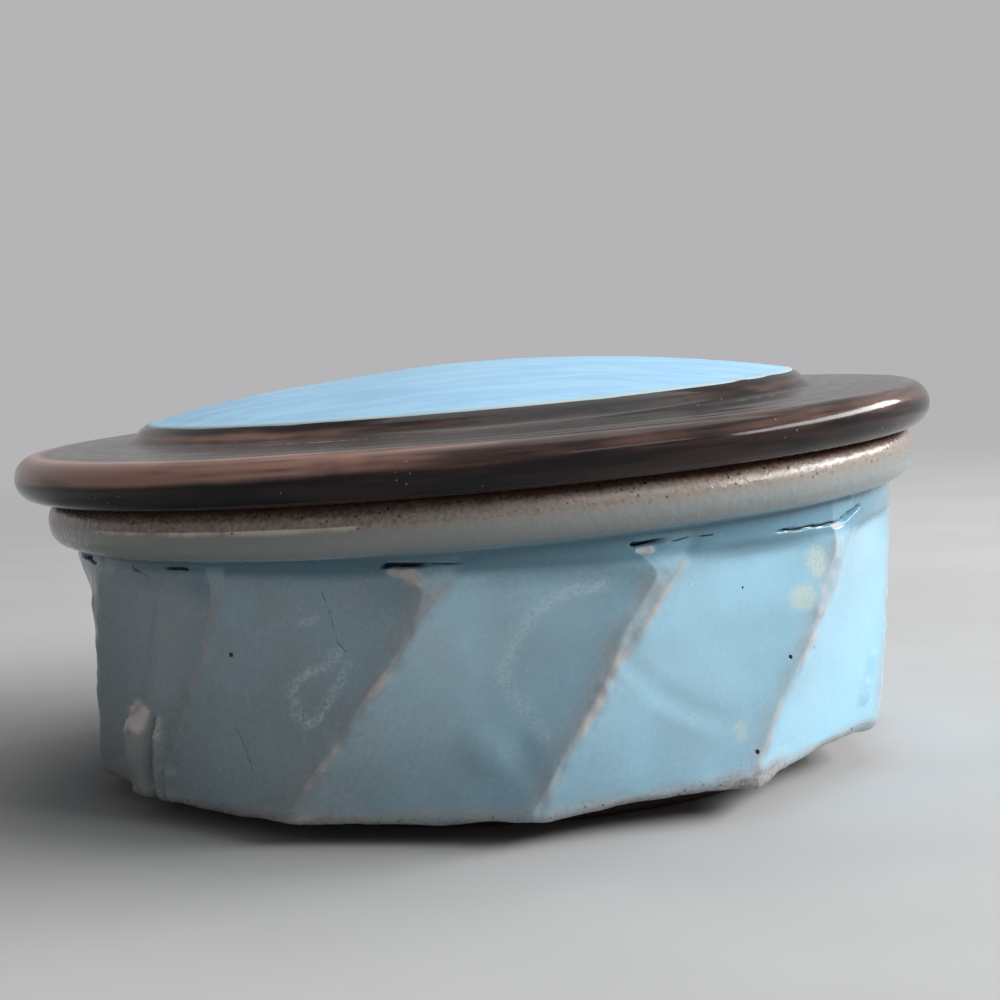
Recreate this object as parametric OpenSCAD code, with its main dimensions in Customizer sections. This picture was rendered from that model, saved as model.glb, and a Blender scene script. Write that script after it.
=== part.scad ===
// Low stoneware jar with leaning hollow facets, a rolled collar and a lift-off lid.
// Millimetres, +Z up. The origin is the middle of the foot, on the surface that the jar stands on.
// Angles round the jar start at its front, which faces -Y, and grow towards +X.

/* [Foot and floor] */
// Outer diameter of the foot ring
foot_d = 139; // [110:1:158]
// Height of the foot ring below the base
foot_h = 6; // [3:0.5:10]
// Width of the foot ring
foot_w = 9; // [5:0.5:16]
// Rounding of the foot ring's lower edges
foot_round = 1.5; // [0.5:0.25:2.5]
// Thickness of the jar's floor
floor_t = 8; // [5:0.5:12]

/* [Wall] */
// Diameter of the thrown wall at the base, before the facets are cut
base_d = 175; // [170:1:182]
// Diameter of the thrown wall under the collar, before the facets are cut
shoulder_d = 181; // [178:1:186]
// Height of the wall from the base to the underside of the collar
wall_h = 50.2; // [40:0.2:70]
// Thickness of the wall behind the foot of a facet
wall_t = 5.5; // [4:0.5:8]
// Rounding of the edge round the base
base_round = 2; // [0.5:0.25:4]
// Rise of the edge round the base, which was trimmed out of level, on its high side; the other side
// falls as much
base_rise = 2; // [0:0.1:3]
// Angle round the jar at which that edge is highest
rise_turn = 102; // [0:1:359]
// Rounding inside, between the floor and the wall
cavity_round = 10; // [4:1:16]

/* [Facets] */
// Number of facets
facet_count = 12; // [8:1:16]
// Turn of a ridge between facets over the height of the wall, to the right as it rises
facet_twist = 22; // [0:0.5:40]
// Depth of a facet's hollow below its chord
facet_hollow = 1.4; // [0:0.1:3]
// Depth of the cut at a ridge below the thrown wall, at the base
ridge_cut = 0.3; // [0:0.1:2]
// Width of a worn ridge between two facets
ridge_w = 0.8; // [0.4:0.1:2]
// Height up the wall where the ridges widen into uncut lands
land_start = 26; // [5:1:36]
// Height of the scoop in which a facet runs out towards the neck
scoop_h = 4; // [2:0.5:10]

/* [Collar] */
// Outer diameter of the rolled collar
collar_d = 190; // [187:1:196]
// Height of the collar, from its underside to the seat of the lid
collar_h = 10.4; // [9:0.2:16]
// Rounding of the collar's outer edges
collar_round = 3.6; // [2:0.2:3.8]
// Diameter of the mouth
mouth_d = 162; // [152:1:166]
// Thickness of the clay from the mouth to the outside of the smooth neck band under the collar
neck_t = 8.2; // [6:0.2:10]
// Height of the neck band between the facets and the collar, halfway round
neck_h = 1.8; // [0.5:0.1:6]
// Least amount by which the hollow widens from the top of the facets to the mouth
mouth_step = 0.8; // [0.4:0.1:3]
// Tilt of the collar and lid, whose right side stands higher
rim_tilt = 2.5; // [0:0.1:4]

/* [Lid] */
// Diameter of the lid over its bead
lid_d = 200; // [196:1:220]
// Thickness of the half-round bead round the lid
bead_t = 9.2; // [6:0.2:12]
// Rise of the flange from the bead to the foot of the shoulder
flange_rise = 0.8; // [0:0.1:3]
// Diameter of the raised panel
panel_d = 143.4; // [110:0.2:150]
// Height of the panel's edge above the flange
shoulder_rise = 3.4; // [2:0.2:8]
// Outward run of the sloping shoulder round the panel
shoulder_run = 3.6; // [2:0.2:8]
// Radius of the hollow where the shoulder meets the flange
shoulder_fillet = 3; // [0.5:0.25:5]
// Rise of the domed panel from its edge to its middle
dome_rise = 7.2; // [3:0.2:20]
// Thickness of the lid at the dome
lid_t = 8; // [5:0.5:10]
// Depth of the locating ring that hangs inside the mouth
ring_depth = 8; // [4:0.5:14]
// Width of the locating ring
ring_w = 6; // [4:0.5:9]
// Clearance between the locating ring and the mouth, all round
seat_play = 1.5; // [0.5:0.1:3]
// How far the lid has slid to the left, as a share of that clearance
lid_slide = 0.8; // [0:0.1:0.9]

/* [Hidden] */
$fn = 144;

// How far each ridge was cut from its even place and from the even twist, and how wide its land
// grows at the top, all in degrees. The first ridge is the one just right of the front, and the
// rest follow to the right.
ridge_shift = [0, 0, 4, 3, 0, -2, 1, 2, 6, 10, 5, 1.5];
twist_shift = [0, 0, -2, 1, 2, -1, 0, 2, -2, -6.5, -4, 3.5];
land_turn = [8, 5, 6, 4, 7, 5, 6, 8, 4, 6, 3, 9];
// Steps across a facet, up its cut stretch, up its scoop and round the worn edge of the base
facet_columns = 6;
cut_rows = 9;
scoop_rows = 4;
edge_rows = 3;
celadon = [0.56, 0.72, 0.75];
iron_brown = [0.20, 0.12, 0.09];

foot_r = foot_d / 2;
base_r = base_d / 2;
shoulder_r = shoulder_d / 2;
mouth_r = mouth_d / 2;
neck_r = mouth_r + neck_t;
collar_r = collar_d / 2;
lid_r = lid_d / 2;
bead_r = bead_t / 2;
panel_r = panel_d / 2;
facet_step = 360 / facet_count;
// Each facet has a land at its left, so its ring has one point more than it has steps
ring_points = facet_count * (facet_columns + 1);

seat_z = foot_h + wall_h + collar_h;
wall_flare = (shoulder_r - base_r) / wall_h;
// The high side of the tilted rim stands this far above the middle
rim_lift = collar_r * tan(rim_tilt);
// Height above the base at which the facets have run out
facet_h = wall_h - neck_h;
loft_top = wall_h + collar_h + rim_lift;

// Hollow of the jar: a cone behind the facets, and a wider one up past the high side of the rim
cavity_low_r = inner_r(0);
cavity_high_r = min(mouth_r - mouth_step, inner_r(facet_h - scoop_h));
cavity_floor_z = foot_h + floor_t;
cavity_h = seat_z + rim_lift - cavity_floor_z;

// Heights on the lid above its seat, and the sphere of its dome
flange_z = bead_t + flange_rise;
panel_z = flange_z + shoulder_rise;
dome_z = panel_z + dome_rise;
dome_r = (panel_r * panel_r + dome_rise * dome_rise) / (2 * dome_rise);
shoulder_foot_r = panel_r + shoulder_run;
ring_r = mouth_r - seat_play;
ring_in_r = ring_r - ring_w;

// A smooth step from 0 to 1
function ease(x) = let(t = min(1, max(0, x))) t * t * (3 - 2 * t);
// Radius of the thrown wall at a height above the base, less the wear on its ridges
function ridge_r(z) = base_r + wall_flare * z - ridge_cut * max(0, 1 - z / wall_h);
// Radius inside, at a height above the base, that leaves the wall behind the middle of a facet
function inner_r(z) = ridge_r(z) * cos(facet_step / 2) - facet_hollow - wall_t;
// How far the worn lower edge is drawn in at a height above the base
function edge_inset(z) = base_round - sqrt(base_round * base_round - pow(max(0, base_round - z), 2));
// How far the uneven base lifts a point of the wall: fully at the base, not at all at the collar
function base_lift(place, z) =
  base_rise * (place * polar(1, rise_turn)) / norm(place) * max(0, 1 - z / wall_h);
// Share of the way from the cut facets to the round neck
function neck_share(z) = ease((z - facet_h + scoop_h) / scoop_h);
// The ridges lean and widen only as far up as the facets reach
function cut_z(z) = min(z, facet_h);
// Share of the way from the start of the lands to the top of the facets
function land_share(z) = max(0, cut_z(z) - land_start) / (facet_h - land_start);
// Angle of the right edge of ridge i at a height above the base, and of its left edge
function right_turn(i, z) =
  floor(i / facet_count) * 360 + (i % facet_count + 0.5) * facet_step
  + ridge_shift[i % facet_count % len(ridge_shift)]
  + (facet_twist + twist_shift[i % facet_count % len(twist_shift)]) * (cut_z(z) / wall_h - 0.5);
function left_turn(i, z) =
  right_turn(i, z) - ridge_w / base_r * 180 / PI
  - land_turn[i % facet_count % len(land_turn)] * pow(land_share(z), 2);
function polar(r, turn) = [r * sin(turn), -r * cos(turn)];
// A point on facet i, the share s of the way from its left edge to its right one
function cut_point(i, s, z) =
  let(
    left = polar(ridge_r(z), right_turn(i, z)),
    right = polar(ridge_r(z), left_turn(i + 1, z)),
    chord = right - left,
    inward = [-chord[1], chord[0]] / norm(chord)
  )
  left + s * chord + 4 * s * (1 - s) * facet_hollow * inward;
// The same point after the scoop under the neck and the wear round the base
function wall_point(i, s, z) =
  let(
    cut = s < 0 ? polar(ridge_r(z), left_turn(i, z)) : cut_point(i, s, z),
    r = norm(cut) + (neck_r - norm(cut)) * neck_share(z) - edge_inset(z),
    place = cut / norm(cut) * r
  )
  [place[0], place[1], foot_h + z + base_lift(place, z)];

// Places its children in the tilted frame of the collar and lid, with z = 0 at the seat
module rim_frame() {
  translate([0, 0, seat_z]) rotate([0, -rim_tilt, 0]) children();
}

// Everything above a height in the tilted frame
module above_rim_height(z) {
  rim_frame() translate([-lid_d, -lid_d, z]) cube([2 * lid_d, 2 * lid_d, 2 * seat_z]);
}

// The foot ring, which runs up into the middle of the floor
module foot_profile() {
  root_h = foot_h + floor_t / 2;
  translate([foot_r - foot_w, foot_round]) square([foot_w, root_h - foot_round]);
  translate([foot_r - foot_w + foot_round, 0]) square([foot_w - 2 * foot_round, root_h]);
  translate([foot_r - foot_round, foot_round]) circle(foot_round);
  translate([foot_r - foot_w + foot_round, foot_round]) circle(foot_round);
}

// Heights above the base of the rings that the wall is lofted through
function ring_heights() = concat(
  [for (j = [0 : edge_rows - 1]) base_round * (1 - cos(90 * j / edge_rows))],
  [for (j = [0 : cut_rows - 1]) base_round + (facet_h - scoop_h - base_round) * j / cut_rows],
  [for (j = [0 : scoop_rows]) facet_h - scoop_h + scoop_h * j / scoop_rows],
  [loft_top]
);

// The wall with its leaning hollow facets, lofted from ring to ring; the rings follow the ridges.
// Step -1 across a facet is the left edge of its land.
module facet_loft() {
  heights = ring_heights();
  rings = [for (z = heights, i = [0 : facet_count - 1], step = [-1 : facet_columns - 1])
    wall_point(i, step / facet_columns, z)];
  low_middle = len(rings);
  high_middle = low_middle + 1;
  high_ring = low_middle - ring_points;
  sides = [for (j = [0 : len(heights) - 2], c = [0 : ring_points - 1])
    let(a = j * ring_points + c, b = j * ring_points + (c + 1) % ring_points)
    each [[a, a + ring_points, b + ring_points], [a, b + ring_points, b]]];
  low_cap = [for (c = [0 : ring_points - 1]) [low_middle, c, (c + 1) % ring_points]];
  high_cap = [for (c = [0 : ring_points - 1])
    [high_middle, high_ring + (c + 1) % ring_points, high_ring + c]];
  polyhedron(
    points = concat(rings, [[0, 0, foot_h], [0, 0, foot_h + loft_top]]),
    faces = concat(sides, low_cap, high_cap)
  );
}

// The wall up to the middle of the collar, into which it runs
module faceted_wall() {
  difference() {
    facet_loft();
    above_rim_height(-collar_h / 2);
  }
}

// The hollow of the jar, open far above the rim
module cavity_profile() {
  cone_h = facet_h - scoop_h - floor_t;
  cavity_flare = (cavity_high_r - cavity_low_r) / cone_h;
  slant_r = cavity_low_r + cavity_flare * cavity_round;
  mouth_flare = (mouth_r - cavity_high_r) / scoop_h;
  top_r = cavity_high_r + mouth_flare * (cavity_h - cone_h);
  translate([slant_r - cavity_round, cavity_floor_z + cavity_round]) circle(cavity_round);
  translate([0, cavity_floor_z]) square([slant_r - cavity_round, 2 * cavity_round]);
  translate([0, cavity_floor_z])
    polygon([
      [0, cavity_round],
      [slant_r, cavity_round],
      [cavity_high_r, cone_h],
      [top_r, cavity_h],
      [0, cavity_h]
    ]);
}

// The hollow widens upwards until it meets the straight bore of the tilted mouth
module cavity() {
  intersection() {
    rotate_extrude() cavity_profile();
    rim_frame() translate([0, 0, -seat_z]) cylinder(r = mouth_r, h = 2 * seat_z);
  }
}

module collar_profile() {
  round_r = collar_r - collar_round;
  translate([0, -collar_h]) square([round_r, collar_h]);
  translate([0, collar_round - collar_h]) square([collar_r, collar_h - 2 * collar_round]);
  translate([round_r, -collar_round]) circle(collar_round);
  translate([round_r, collar_round - collar_h]) circle(collar_round);
}

module jar_body() {
  color(celadon)
    difference() {
      union() {
        rotate_extrude() foot_profile();
        faceted_wall();
        rim_frame() rotate_extrude() collar_profile();
      }
      cavity();
    }
}

// Outline of a dome of a given radius about the axis, down to a low line
module dome_profile(radius, top, reach, low) {
  intersection() {
    translate([0, top - radius]) circle(radius, $fn = 720);
    translate([0, low]) square([reach, top - low]);
  }
}

// Half section of the lid's flange, bead and shoulder, with a true arc where shoulder and flange meet
module flange_profile() {
  edge = [lid_r - bead_r, bead_t];
  corner = [shoulder_foot_r, flange_z];
  panel_edge = [panel_r, panel_z];
  up = (panel_edge - corner) / norm(panel_edge - corner);
  along = (edge - corner) / norm(edge - corner);
  half_turn = acos(up * along) / 2;
  run = shoulder_fillet / tan(half_turn);
  centre = corner + (up + along) / norm(up + along) * shoulder_fillet / sin(half_turn);
  translate([lid_r - bead_r, bead_r]) circle(bead_r);
  difference() {
    polygon([
      [0, 0],
      [lid_r - bead_r, 0],
      edge,
      corner + run * along,
      centre,
      corner + run * up,
      panel_edge,
      [0, panel_z]
    ]);
    translate(centre) circle(shoulder_fillet);
  }
}

module lid_profile() {
  difference() {
    union() {
      flange_profile();
      dome_profile(dome_r, dome_z, panel_r, 0);
    }
    dome_profile(dome_r - lid_t, dome_z - lid_t, ring_in_r, -ring_depth);
  }
  translate([ring_in_r, ring_w / 2 - ring_depth]) square([ring_w, ring_depth]);
  translate([ring_r - ring_w / 2, ring_w / 2 - ring_depth]) circle(ring_w / 2);
}

module lid() {
  color(iron_brown)
    rim_frame() translate([-lid_slide * seat_play, 0, 0]) rotate_extrude() lid_profile();
}

jar_body();
lid();
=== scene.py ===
"""Looks of a low stoneware jar with leaning hollow facets and a loose domed lid.

The jar and the lid are modelled again as dense meshes, by the rules of their solids, with what the maker's
hand and the kiln left on them: soft ridges, torn lands, a worn base, glaze that pools and breaks. Some
shade, highlights and reflections are painted into the glaze colours as well. Sizes are in millimetres and
angles in degrees until a mesh is made. Angles round the jar start at its front, which faces -Y, and grow to
the right.
"""
import math
from functools import cached_property, reduce
from itertools import product

import bpy
import numpy as np
from mathutils import Matrix, Vector


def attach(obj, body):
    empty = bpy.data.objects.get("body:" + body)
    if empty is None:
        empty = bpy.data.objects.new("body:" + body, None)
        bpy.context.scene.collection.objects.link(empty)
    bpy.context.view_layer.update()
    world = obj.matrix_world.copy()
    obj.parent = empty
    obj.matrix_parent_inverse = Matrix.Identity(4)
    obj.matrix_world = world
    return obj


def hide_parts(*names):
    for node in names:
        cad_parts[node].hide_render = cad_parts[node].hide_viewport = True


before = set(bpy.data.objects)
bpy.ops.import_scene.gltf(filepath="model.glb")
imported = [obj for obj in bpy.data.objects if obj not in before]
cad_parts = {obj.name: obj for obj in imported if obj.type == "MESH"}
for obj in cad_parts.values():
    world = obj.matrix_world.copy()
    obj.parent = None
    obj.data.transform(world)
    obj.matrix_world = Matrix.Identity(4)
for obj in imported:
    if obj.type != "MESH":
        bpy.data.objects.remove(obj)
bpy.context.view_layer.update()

MM = 0.001

# Foot, floor and wall
FOOT_R = 69.5
FOOT_H = 6.0
FOOT_W = 9.0
FOOT_ROUND = 1.5
FOOT_INNER_FILLET = 1.2
FOOT_FILLET = 1.0
FLOOR_Z = 14.0
BASE_R = 87.5
BASE_ROUND = 2.0
SHOULDER_R = 90.5
WALL_H = 50.2
WALL_T = 5.5
CAVITY_ROUND = 10.0
# The edge round the base was trimmed out of level, and hangs lower at the front
BASE_RISE = 2.0
RISE_TURN = 102.0
FRONT_SAG = 1.1
FRONT_SAG_TURN = 8.0
FRONT_SAG_REACH = 62.0
FRONT_SAG_H = 14.0

# Facets, each with its own scoop, and for each ridge its shift and its change of twist, in degrees.
# The first ridge is the one just right of the front.
FACETS = 12
FACET_STEP = 360.0 / FACETS
FACET_TWIST = 22.0
FACET_HOLLOW = 1.4
RIDGE_CUT = 0.3
RIDGE_W = 0.8
SCOOP_H = 4.0
SCOOP_REACH = np.array([1.2, 1.1, 1.3, 1.0, 1.4, 1.2, 1.0, 1.2, 3.2, 1.5, 1.2, 1.5])
RIDGE_SHIFT = np.array([0, 0, 4, 3, 0, -2, 1, 2, 6, 10, 5, 1.5])
TWIST_SHIFT = np.array([0, 0, -2, 1, 2, -1, 0, 2, -2, -6.5, -4, 3.5])
# How a ridge wavers: degrees, length of the wave and lag from ridge to ridge
RIDGE_WAVER = [(0.30, 6.5, 2.1), (0.16, 2.4, 5.3)]
# A ridge widens into a strip, by an angle, from a height and over a rise, and flares out under the neck
STRIP_TURN = np.array([1.7, 2.2, 2.0, 1.5, 2.4, 1.6, 2.2, 2.6, 1.2, 2.0, 1.2, 1.8])
STRIP_START = np.array([26, 27, 30, 32, 26, 30, 28, 25, 33, 30, 34, 36])
STRIP_RISE = 9.0
FLARE_TURN = np.array([5.5, 2.5, 4, 3, 5, 3, 4, 5, 3, 4, 2, 7.0])
FLARE_DEPTH = 7.0
# How soft each ridge is, in millimetres, how steep beside it, and how pale its glaze breaks
RIDGE_SOFT = np.array([0.85, 0.80, 1.0, 0.8, 0.6, 1.4, 0.8, 0.6, 1.1, 0.7, 5.0, 0.6])
RIDGE_SLOPE = 0.36
RIDGE_PALE = np.array([0.95, 0.9, 0.9, 0.8, 0.9, 0.7, 0.8, 0.9, 0.8, 0.6, 0.5, 0.95])
# How far the tan of a ridge reaches into the facet on its left, in millimetres; there it is partly painted
# shade
FLANK_REACH = 4.2
# How pale the left edge of each land breaks
LEFT_PALE = np.array([0.10, 1.0, 0.9, 0.8, 0.6, 1.0, 0.8, 0.7, 1.0, 0.6, 0.3, 0.25])
# How hollow each facet is, next to the usual
HOLLOW_SHARE = np.array([1.0, 0.9, 1.1, 0.95, 1.1, 1.0, 0.9, 1.1, 1.0, 0.8, 0.8, 1.1])

# Neck, collar and mouth
NECK_R = 89.2
NECK_H = 1.8
NECK_FILLET = 1.0
FACET_H = WALL_H - NECK_H
COLLAR_R = 95.0
COLLAR_H = 10.4
COLLAR_ROUND = 4.6
SEAT_CLEAR = 0.04
SEAT_RINGS = (88.6, 86.4, 84.0, 82.2)
MOUTH_R = 81.0
MOUTH_STEP = 0.8
MOUTH_ROUND = 0.6
RIM_TILT = math.radians(2.5)
SEAT_Z = FOOT_H + WALL_H + COLLAR_H

# Lid
LID_R = 100.0
BEAD_R = 4.6
FLANGE_Z = 10.0
PANEL_R = 71.7
PANEL_Z = 13.4
SHOULDER_FOOT_R = 75.3
SHOULDER_FILLET = 3.0
DOME_RISE = 7.2
LID_T = 8.0
RING_R = 79.5
RING_W = 6.0
RING_DEPTH = 8.0
RING_FILLET = 0.8
LID_SLIDE = 1.2

# Cracks where a land or a facet tore from the neck: first and last angle, height above the base at each,
# half its width, and its depth
CRACKS = [
    (-11.9, -7.4, 47.4, 47.6, 0.42, 2.2),
    (-8.0, -2.4, 47.6, 47.7, 0.12, 0.5),
    (17.2, 20.8, 48.9, 49.2, 0.42, 2.2),
    (21.5, 29.0, 49.2, 49.6, 0.10, 0.12),
    (38.0, 53.0, 48.4, 48.0, 0.22, 1.4),
    (52.0, 57.5, 48.2, 50.4, 0.45, 2.2),
    (-43.0, -38.6, 46.3, 46.2, 0.24, 1.0),
    (-71.0, -61.0, 46.1, 45.2, 0.32, 1.4),
    (112.0, 119.0, 48.6, 48.9, 0.40, 1.8),
    (142.0, 150.0, 48.9, 49.2, 0.45, 1.8),
    (203.0, 210.0, 47.4, 47.6, 0.50, 2.0),
    (262.0, 268.0, 46.0, 46.2, 0.40, 1.6),
]
# Torn patches without glaze: angle, height, half width in degrees and half height
TORN = [
    (-9.9, 46.4, 2.0, 1.2),
    (-8.0, 45.2, 1.3, 1.3),
    (18.9, 47.9, 1.1, 0.8),
    (51.0, 47.4, 1.8, 0.6),
    (146.0, 47.4, 2.4, 1.8),
    (206.0, 45.8, 2.4, 2.0),
]
# Straw-coloured patches: angle, height, half width and half height
STRAW = [
    (46.4, 41.0, 1.9, 4.0),
    (43.8, 34.3, 2.4, 3.0),
    (33.5, 10.5, 0.9, 2.4),
    (165.0, 25.0, 3.0, 4.0),
]
# Trails of pale crystals in the glaze: half width, strength, then a run of angles and heights
LONG_TRAIL = [
    (13.8, 41.8), (9.6, 40.9), (5.8, 37.6), (3.2, 32.7),
    (1.7, 27.6), (2.2, 23.4), (4.7, 19.3), (6.4, 15.0),
]
FROST = [
    (1.9, 0.55, LONG_TRAIL),
    (1.5, 0.90, [(-18.6, 31.8), (-20.4, 28.6), (-23.4, 27.6), (-25.2, 24.7), (-25.0, 20.4), (-23.2, 18.1)]),
    (1.3, 0.90, [(-23.2, 18.1), (-21.4, 19.4), (-20.2, 22.4), (-18.4, 26.0), (-17.2, 30.0)]),
    (1.2, 0.90, [(-23.1, 36.7), (-21.7, 37.4)]),
    (2.6, 0.80, [(115.0, 38.0), (120.0, 30.0), (117.0, 22.0)]),
    (2.4, 0.80, [(226.0, 30.0), (231.0, 22.0), (236.0, 19.0)]),
]
# Soft creases in the wall: half width, height or depth, then a run of angles and heights
FOLDS = [
    (3.4, -0.24, [(16.5, 27.5), (20.1, 21.4), (26.3, 15.8), (30.7, 13.1)]),
    (2.6, 0.15, [(17.0, 24.0), (21.5, 17.5), (27.0, 12.0)]),
    (5.5, 0.60, [(-1.8, 13.4), (-0.4, 11.6)]),
    (4.0, -0.40, [(3.6, 12.4), (4.6, 9.0)]),
    (2.6, 0.45, [(27.0, 1.6), (32.0, 2.4), (37.5, 3.4), (43.0, 2.6)]),
    (1.7, 1.20, [(70.7, 15.2), (68.6, 10.6), (66.1, 6.9)]),
    (4.0, -0.45, [(128.0, 30.0), (135.0, 20.0)]),
    (5.0, 0.50, [(232.0, 14.0), (235.0, 11.0)]),
]
# Pinholes: angle, height and radius
PINHOLES = [
    (-33.6, 29.6, 0.58),
    (41.3, 23.6, 0.52),
    (45.9, 24.6, 0.40),
    (35.3, 6.6, 0.58),
    (34.5, 37.7, 0.28),
    (127.0, 18.0, 0.55),
    (218.0, 33.0, 0.60),
]
# Hairlines and slits in the glaze: half width, strength, then a run of angles and heights
HAIRLINES = [
    (0.17, 0.6, [(-20.7, 42.3), (-19.5, 38.0), (-18.6, 33.5), (-17.7, 31.7)]),
    (0.17, 0.6, [(-34.4, 15.6), (-33.5, 11.4), (-32.1, 7.2)]),
    (0.55, 1.5, [(-50.6, 46.1), (-49.4, 45.5), (-47.8, 44.4)]),
]
# How far a hairline wavers, in millimetres
HAIRLINE_WAVER = 1.2

# Lumps that hang from the edge round the base: angle, drop and half width in degrees
BASE_LUMPS = [
    (-7.0, 0.9, 7.0),
    (-40.0, 0.5, 9.0),
    (37.5, 1.4, 4.5),
    (70.0, 0.8, 6.0),
    (150.0, 0.9, 6.0),
    (245.0, 0.8, 7.0),
]

# The worn glaze round the base, its height, and where it climbs highest: angle, half width in degrees and
# extra height
SKIRT_H = 4.6
SKIRT_TURN = 35.0
SKIRT_REACH = 11.0
SKIRT_RISE = 3.2

# Clay that was pushed up and torn at the foot of a facet. Each lobe has its place across, half width, top,
# how far it stands proud and how much of its pale break, lightened as a painted highlight, shows. Each
# groove has its depth instead.
TEAR_TURN = -55.2
TEAR_LOBES = [
    (0.0, 4.6, 19.0, 3.9, 1.0),
    (7.6, 1.9, 17.0, 1.7, 0.5),
    (10.6, 1.5, 10.0, 0.8, 0.0),
]
TEAR_GROOVES = [
    (5.4, 1.2, 17.5, 1.3),
    (9.4, 0.9, 12.0, 0.6),
]
# Length of the break at the top of a lobe
TEAR_CHISEL = 4.5

# Side of the jar where the glaze is bluest; the opposite side is greyer and darker, partly as painted shade
BLUE_TURN = 88.0

# Where the glaze ran down and lies thick above the base: angle and half width, in degrees
RUN_TURN = 2.0
RUN_REACH = 45.0

# Layers of noise on each thing: height, size of its lumps in millimetres and seed
NOISE = {
    "wall": [(0.32, 17.0, 3), (0.11, 6.0, 4)],
    "ridge": [(0.28, 2.6, 5), (0.14, 5.5, 9), (0.12, 1.4, 15)],
    "torn": [(0.40, 1.7, 6)],
    "ragged": [(0.5, 2.4, 7), (0.35, 1.1, 8)],
    "foot": [(0.22, 9.0, 11), (0.08, 2.4, 12)],
    "line": [(0.46, 6.5, 13), (0.44, 2.4, 14)],
    "tan": [(0.35, 5.0, 16)],
    "break": [(0.8, 1.3, 18)],
    "edge round": [(0.30, 8.0, 21), (0.15, 3.0, 22)],
    "edge sag": [(0.50, 13.0, 23), (0.16, 3.5, 24)],
    "edge bare": [(0.2, 4.0, 25)],
    "skirt": [(2.0, 7.0, 26)],
    "skirt rise": [(0.5, 3.0, 29)],
    "worn": [(0.22, 4.0, 27), (0.10, 1.8, 28)],
    "worn most": [(0.25, 1.8, 28)],
    "collar slow": [(1.0, 34.0, 31)],
    "collar": [(0.25, 15.0, 32)],
    "collar speck": [(1.0, 3.4, 33), (0.6, 1.3, 34)],
    "collar cream": [(1.0, 9.0, 35)],
    "lid": [(1.0, 26.0, 41)],
    "lid fine": [(1.0, 9.0, 42)],
    "lid border": [(0.35, 9.0, 43), (0.07, 2.4, 44)],
    "lid streak": [(0.32, 3.0, 45), (0.25, 1.2, 46)],
    "lid dust": [(1.0, 26.0, 47)],
}

# How columns of the mesh crowd together: at the edges of every facet, and round the tear on its own facet
EDGE_CROWD = 3.0
EDGE_SHARE = 0.08
TEAR_FACET = 9
TEAR_SHARE = 0.68
TEAR_SPREAD = 0.34
TEAR_CROWD = 3.0

# Rings of the mesh: radii under the jar and on its floor, and rows of the wall below a height, from there
# to the next, and above it
UNDERSIDE_RINGS = (12.0, 30.0, 48.0)
FLOOR_RINGS = (58.0, 47.0, 36.0, 25.0, 14.0, 5.0)
LEDGE_Z = 44.2
NECK_Z = 50.6
WALL_ROWS = (68, 22, 3)
# Columns of the mesh on a land, on a facet and round the lid
LAND_STEPS = 6
FACET_STEPS = 34
LID_COLUMNS = 400


def ease(low, high, x):
    """A smooth step from 0 at low to 1 at high."""
    t = np.clip((np.asarray(x, float) - low) / (high - low), 0.0, 1.0)
    return t * t * (3.0 - 2.0 * t)


def swell(x, middle, half):
    """A smooth hump, 1 in the middle and 0 from half its width away."""
    t = np.clip(np.abs((np.asarray(x, float) - middle) / half), 0.0, 1.0)
    return (1.0 - t * t) ** 2


def band(x, middle, reach):
    """A soft band, 1 in its middle, which fades out over about its reach."""
    return np.exp(-(((x - middle) / reach) ** 2))


def soft_min(a, b, reach):
    """The lesser of two values, rounded where they meet."""
    return 0.5 * (a + b - np.sqrt((a - b) ** 2 + reach * reach))


def around(turn, middle):
    """Degrees from one angle to another, the short way."""
    return (turn - middle + 180.0) % 360.0 - 180.0


def over_wall(turn):
    """Length over the wall of an angle."""
    return np.radians(turn) * BASE_R


def to_right(turn):
    """How far to the right an angle points, from -1 to 1."""
    return np.sin(np.radians(turn))


def arc(centre, radius, start, end, steps):
    """Points (r, z) on an arc, from one angle to another."""
    angles = np.radians(np.linspace(start, end, steps + 1))
    return [(centre[0] + radius * math.cos(a), centre[1] + radius * math.sin(a)) for a in angles]


def line(start, end, steps):
    """Points (r, z) along a straight run, without its end."""
    shares = np.arange(steps) / steps
    return [(start[0] + (end[0] - start[0]) * t, start[1] + (end[1] - start[1]) * t) for t in shares]


def lattice(cell, seed):
    """A repeatable value from -1 to 1 for each whole-number place."""
    mixed = cell[..., 0] * 73856093 ^ cell[..., 1] * 19349663 ^ cell[..., 2] * 83492791 ^ seed * 2654435
    mixed = (mixed & 0xFFFFFFFF) * 1274126177
    mixed = (mixed >> 15) ^ mixed
    mixed = (mixed & 0xFFFFFFFF) * 668265263
    return ((mixed >> 16) & 0xFFFF) / 32767.5 - 1.0


def noise(points, size, seed):
    """Smooth noise from -1 to 1 at points in millimetres, with lumps of about that size."""
    scaled = points / size
    cell = np.floor(scaled).astype(np.int64)
    part = scaled - cell
    part = part * part * (3.0 - 2.0 * part)
    total = np.zeros(points.shape[:-1])
    for corner in product((0, 1), repeat=3):
        weight = np.ones(points.shape[:-1])
        for axis in range(3):
            weight = weight * (part[..., axis] if corner[axis] else 1.0 - part[..., axis])
        total += weight * lattice(cell + np.array(corner), seed)
    return total


def rough(points, name):
    """All layers of the noise that a thing has."""
    return sum(height * noise(points, size, seed) for height, size, seed in NOISE[name])


def polar(r, turn, z):
    """Points from radius, angle and height."""
    angle = np.radians(turn)
    return np.stack(np.broadcast_arrays(r * np.sin(angle), -r * np.cos(angle), z), axis=-1)


def rim_to_world(points, slide=0.0):
    """Points of the tilted frame of the collar and lid, with z = 0 at the seat, in the jar's frame."""
    x = points[..., 0] - slide
    z = points[..., 2]
    cos = math.cos(RIM_TILT)
    sin = math.sin(RIM_TILT)
    return np.stack([x * cos - z * sin, points[..., 1], x * sin + z * cos + SEAT_Z], axis=-1)


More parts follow.
